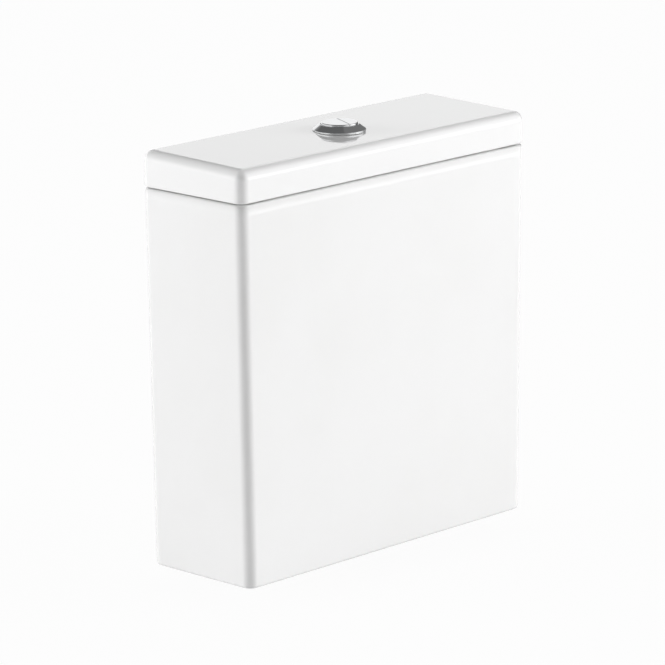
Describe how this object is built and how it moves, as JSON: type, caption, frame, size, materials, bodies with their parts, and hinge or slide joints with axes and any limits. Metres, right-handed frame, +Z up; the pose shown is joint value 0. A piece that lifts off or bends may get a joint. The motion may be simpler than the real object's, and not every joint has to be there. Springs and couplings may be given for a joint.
{
  "type": "toilet cistern",
  "caption": "White china close-coupled toilet cistern with loose lid, chrome dual-flush button, flush valve and bottom-entry fill valve.",
  "frame": {"origin": "on the axis of the flush outlet, in the plane of the tank's foot rim", "axes": "+Z up, the large front face looks towards -Y, +X to the right seen from the front"},
  "size_m": [0.391, 0.133, 0.4292],
  "materials": {
    "china": "white vitreous china, glossy glaze",
    "chrome": "polished chrome plate",
    "white_plastic": "moulded white plastic",
    "grey_plastic": "moulded grey plastic",
    "blue_plastic": "moulded blue plastic",
    "green_plastic": "moulded green plastic",
    "black_rubber": "black moulded rubber",
    "seal_silicone": "red silicone",
    "clear_silicone": "pale soft silicone",
    "steel": "stainless steel",
    "brass": "plain brass"
  },
  "bodies": {
    "cistern": {"tank": "china", "flush_valve_seat": "white_plastic", "seat_gasket": "black_rubber", "flush_back_nut": "white_plastic", "coupling_seal": "black_rubber", "flush_basket": "white_plastic", "tower_frame": "white_plastic", "tower_head": "grey_plastic", "rocker_pins": "steel", "fill_shank": "white_plastic", "shank_gasket": "black_rubber", "fill_back_nut": "white_plastic", "inlet_filter": "grey_plastic", "fill_riser": "white_plastic", "riser_lock_ring": "grey_plastic", "fill_valve_head": "white_plastic", "fill_diaphragm": "black_rubber", "fill_valve_cap": "grey_plastic", "float_arm_pin": "steel", "coupling_bolts": "steel", "bolt_sealing_washers": "black_rubber", "bolt_plate_washers": "steel", "bolt_lock_nuts": "steel", "wing_nuts": "brass"},
    "lid_set": {"lid": "china", "lid_pads": "clear_silicone", "button_bezel": "chrome", "bezel_gasket": "clear_silicone", "bezel_nut": "white_plastic", "button_carrier": "white_plastic", "full_button_spring": "steel", "half_button_spring": "steel"},
    "full_button": {"full_flush_button": "chrome", "full_push_rod": "white_plastic", "full_rod_lock_nut": "brass"},
    "half_button": {"half_flush_button": "chrome", "half_push_rod": "white_plastic", "half_rod_lock_nut": "brass"},
    "full_tappet": {"full_tappet": "blue_plastic"},
    "half_tappet": {"half_tappet": "green_plastic"},
    "full_rocker": {"full_rocker": "blue_plastic"},
    "half_rocker": {"half_rocker": "green_plastic"},
    "valve_stem": {"overflow_stem": "white_plastic", "flush_seal": "seal_silicone", "seal_clamp": "grey_plastic", "stem_float": "blue_plastic", "stem_yoke": "blue_plastic"},
    "half_float": {"half_flush_float": "green_plastic", "half_flush_lifter": "green_plastic"},
    "float_arm": {"float_arm": "white_plastic", "pilot_plug": "black_rubber"},
    "fill_float": {"fill_float": "grey_plastic", "float_adjusting_rod": "white_plastic"}
  },
  "joints": [
    {"name": "lid_lift", "type": "slide", "parent": "cistern", "child": "lid_set", "axis": [0, 0, 1], "range_m": [0, 0.12]},
    {"name": "full_press", "type": "slide", "parent": "lid_set", "child": "full_button", "axis": [0, 0, -1], "range_m": [0, 0.007], "stiffness_N_per_m": 350, "springref_m": -0.01, "deforming": ["full_button_spring"]},
    {"name": "half_press", "type": "slide", "parent": "lid_set", "child": "half_button", "axis": [0, 0, -1], "range_m": [0, 0.007], "stiffness_N_per_m": 350, "springref_m": -0.01, "deforming": ["half_button_spring"]},
    {"name": "full_tappet_slide", "type": "slide", "parent": "cistern", "child": "full_tappet", "axis": [0, 0, -1], "range_m": [0, 0.007]},
    {"name": "half_tappet_slide", "type": "slide", "parent": "cistern", "child": "half_tappet", "axis": [0, 0, -1], "range_m": [0, 0.007]},
    {"name": "full_rocker_pivot", "type": "hinge", "parent": "cistern", "child": "full_rocker", "pos_m": [-0.01758, 0.00797, 0.298], "axis": [0.4131, 0.9107, 0], "range_deg": [0, 43.24]},
    {"name": "half_rocker_pivot", "type": "hinge", "parent": "cistern", "child": "half_rocker", "pos_m": [0.01758, -0.00797, 0.298], "axis": [-0.4131, -0.9107, 0], "range_deg": [0, 43.24]},
    {"name": "stem_lift", "type": "slide", "parent": "cistern", "child": "valve_stem", "axis": [0, 0, 1], "range_m": [0, 0.00811]},
    {"name": "half_float_lift", "type": "slide", "parent": "cistern", "child": "half_float", "axis": [0, 0, 1], "range_m": [0, 0.00811]},
    {"name": "fill_float_rise", "type": "slide", "parent": "cistern", "child": "fill_float", "axis": [0, 0, 1], "range_m": [0, 0.016]},
    {"name": "float_arm_pivot", "type": "hinge", "parent": "cistern", "child": "float_arm", "pos_m": [-0.115, 0, 0.3163], "axis": [0, -1, 0], "range_deg": [0, 32.03]}
  ],
  "couplings": [
    {"joint": "full_tappet_slide", "follows": "full_press", "ratio": 1},
    {"joint": "full_rocker_pivot", "follows": "full_press", "rad_per_m": 107.8},
    {"joint": "stem_lift", "follows": "full_press", "ratio": 1.1579},
    {"joint": "half_tappet_slide", "follows": "half_press", "ratio": 1},
    {"joint": "half_rocker_pivot", "follows": "half_press", "rad_per_m": 107.8},
    {"joint": "half_float_lift", "follows": "half_press", "ratio": 1.1579},
    {"joint": "float_arm_pivot", "follows": "fill_float_rise", "rad_per_m": 34.936}
  ]
}
